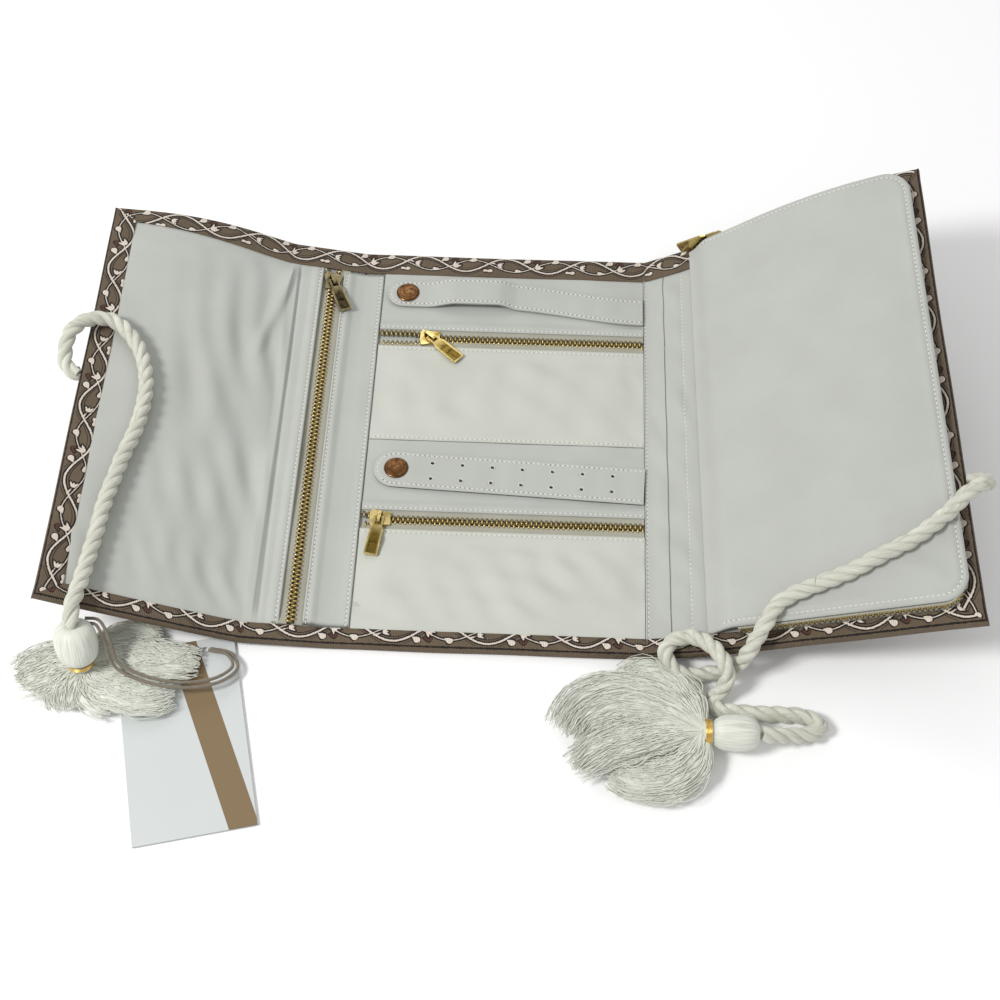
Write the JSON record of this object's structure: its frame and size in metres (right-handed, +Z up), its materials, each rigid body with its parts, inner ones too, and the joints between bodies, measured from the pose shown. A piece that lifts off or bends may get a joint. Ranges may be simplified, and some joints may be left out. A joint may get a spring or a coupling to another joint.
{
  "type": "jewelry organizer",
  "caption": "Open tri-fold cloth jewelry organizer with zipped pockets, snap straps for rings and earrings, a zip-around pouch page and wrap cords with tassels.",
  "frame": {"origin": "middle of the centre panel's underside, where it lies on the table", "axes": "+X towards the pouch wing, +Y away from the user, +Z up from the table"},
  "size_m": [0.4633, 0.3544, 0.0875],
  "materials": {
    "cover_cloth": "ribbed taupe cloth printed with a vine border",
    "wadding": "soft batting",
    "lining_cotton": "matte cotton",
    "zip_tape_and_teeth": "brass teeth on a cotton tape",
    "brass": "satin",
    "antique_brass": "dull antique",
    "copper_snap": "satin",
    "rope": "three-strand twist",
    "tassel_thread": "silky thread",
    "gold_thread": "metallic thread",
    "card": "printed card",
    "elastic": "round elastic"
  },
  "bodies": {
    "centre": {"cover_centre": "cover_cloth", "wadding_centre": "wadding", "backing_centre": "lining_cotton", "strip_centre": "lining_cotton", "lining_behind_ring_strap": "lining_cotton", "upper_pocket_panel": "lining_cotton", "lining_behind_earring_strap": "lining_cotton", "lower_pocket_panel": "lining_cotton", "upper_zip_far_half": "zip_tape_and_teeth", "upper_zip_near_half": "zip_tape_and_teeth", "lower_zip_far_half": "zip_tape_and_teeth", "lower_zip_near_half": "zip_tape_and_teeth", "ring_snap_stud": "copper_snap", "earring_snap_stud": "copper_snap", "right_cord_tail": "rope", "right_tassel_head": "tassel_thread", "right_tassel_band": "gold_thread", "right_tassel_skirt": "tassel_thread"},
    "ring_strap": {"ring_strap": "lining_cotton", "ring_snap_cap": "copper_snap"},
    "earring_strap": {"earring_strap": "lining_cotton", "earring_snap_cap": "copper_snap"},
    "upper_zip_slider": {"upper_zip_slider": "brass"},
    "upper_zip_pull": {"upper_zip_pull": "brass"},
    "lower_zip_slider": {"lower_zip_slider": "brass"},
    "lower_zip_pull": {"lower_zip_pull": "brass"},
    "left_wing": {"cover_left_wing": "cover_cloth", "wadding_left_wing": "wadding", "backing_left_wing": "lining_cotton", "strip_left_wing": "lining_cotton", "lining_left_wing": "lining_cotton", "long_zip_right_half": "zip_tape_and_teeth", "long_zip_left_half": "zip_tape_and_teeth"},
    "long_zip_slider": {"long_zip_slider": "antique_brass"},
    "long_zip_pull": {"long_zip_pull": "antique_brass"},
    "left_panel": {"cover_left_panel": "cover_cloth", "wadding_left_panel": "wadding", "lining_left_panel": "lining_cotton", "left_cord": "rope", "left_tassel_head": "tassel_thread", "left_tassel_band": "gold_thread", "left_tassel_skirt": "tassel_thread", "tag_card": "card", "tag_backing_card": "card", "tag_loop": "elastic"},
    "spine": {"cover_spine": "cover_cloth", "wadding_spine": "wadding", "lining_spine": "lining_cotton"},
    "right_wing": {"cover_right_wing": "cover_cloth", "wadding_right_wing": "wadding", "pouch_base": "lining_cotton", "pouch_zip_lower": "zip_tape_and_teeth", "right_cord_edge": "rope", "right_cord_under": "rope"},
    "pouch_page": {"pouch_page": "lining_cotton", "pouch_zip_upper": "zip_tape_and_teeth", "right_cord_page": "rope"},
    "pouch_zip_slider": {"pouch_zip_slider": "brass"},
    "pouch_zip_pull": {"pouch_zip_pull": "brass"}
  },
  "joints": [
    {"name": "left_fold", "type": "hinge", "parent": "centre", "child": "left_wing", "pos_m": [-0.0785, 0, 0.01], "axis": [0, 1, 0], "range_deg": [0, 166], "deforming": ["left_cord", "tag_loop"]},
    {"name": "left_crease", "type": "hinge", "parent": "left_wing", "child": "left_panel", "pos_m": [-0.12013, 0, 0.00511], "axis": [-0.0021, -0.9998, -0.0175], "range_deg": [0, 10]},
    {"name": "spine_fold", "type": "hinge", "parent": "centre", "child": "spine", "pos_m": [0.0785, 0, 0.0045], "axis": [0, -1, 0], "range_deg": [-8, 60], "deforming": ["right_cord_tail"]},
    {"name": "right_wing_fold", "type": "hinge", "parent": "spine", "child": "right_wing", "pos_m": [0.09876, 0, 0.01234], "axis": [0.013, -0.9997, -0.0213], "range_deg": [0, 30], "deforming": ["right_cord_tail"]},
    {"name": "pouch_opening", "type": "hinge", "parent": "right_wing", "child": "pouch_page", "pos_m": [0.10351, 0.0015, 0.01538], "axis": [-0.0187, 0.9994, 0.0275], "range_deg": [-65, 0], "deforming": ["right_cord_page"]},
    {"name": "ring_strap_lift", "type": "hinge", "parent": "centre", "child": "ring_strap", "pos_m": [0.0762, 0.087, 0.0049], "axis": [0, -1, 0], "range_deg": [-85, 0]},
    {"name": "earring_strap_lift", "type": "hinge", "parent": "centre", "child": "earring_strap", "pos_m": [0.0762, -0.0275, 0.0049], "axis": [-0.0466, -0.9989, 0], "range_deg": [-85, 0]},
    {"name": "upper_zip_travel", "type": "slide", "parent": "centre", "child": "upper_zip_slider", "axis": [-1, 0, 0], "range_m": [-0.093, 0.022], "deforming": ["upper_zip_far_half", "upper_zip_near_half"]},
    {"name": "upper_zip_pull_flip", "type": "hinge", "parent": "upper_zip_slider", "child": "upper_zip_pull", "pos_m": [-0.0395, 0.065, 0.00715], "axis": [0.6561, 0.7547, 0], "range_deg": [-140, 0]},
    {"name": "lower_zip_travel", "type": "slide", "parent": "centre", "child": "lower_zip_slider", "axis": [-1, 0, 0], "range_m": [-0.125, 0.004], "deforming": ["lower_zip_far_half", "lower_zip_near_half"]},
    {"name": "lower_zip_pull_flip", "type": "hinge", "parent": "lower_zip_slider", "child": "lower_zip_pull", "pos_m": [-0.0575, -0.052, 0.00715], "axis": [0.9903, -0.1392, 0], "range_deg": [-140, 0]},
    {"name": "long_zip_travel", "type": "slide", "parent": "left_wing", "child": "long_zip_slider", "axis": [0.0027, 1, 0.0073], "range_m": [-0.19, 0.004], "deforming": ["long_zip_right_half", "long_zip_left_half"]},
    {"name": "long_zip_pull_flip", "type": "hinge", "parent": "long_zip_slider", "child": "long_zip_pull", "pos_m": [-0.0952, 0.09997, 0.01001], "axis": [0.9078, 0.4051, -0.1084], "range_deg": [-140, 0]},
    {"name": "pouch_zip_travel", "type": "slide", "parent": "right_wing", "child": "pouch_zip_slider", "axis": [-0.8068, 0, -0.5908], "range_m": [-0.035, 0], "deforming": ["pouch_zip_lower", "pouch_zip_upper"]},
    {"name": "pouch_zip_pull_flip", "type": "hinge", "parent": "pouch_zip_slider", "child": "pouch_zip_pull", "pos_m": [0.11397, 0.12205, 0.03153], "axis": [-0.5182, 0, 0.8552], "range_deg": [-140, 0]}
  ]
}
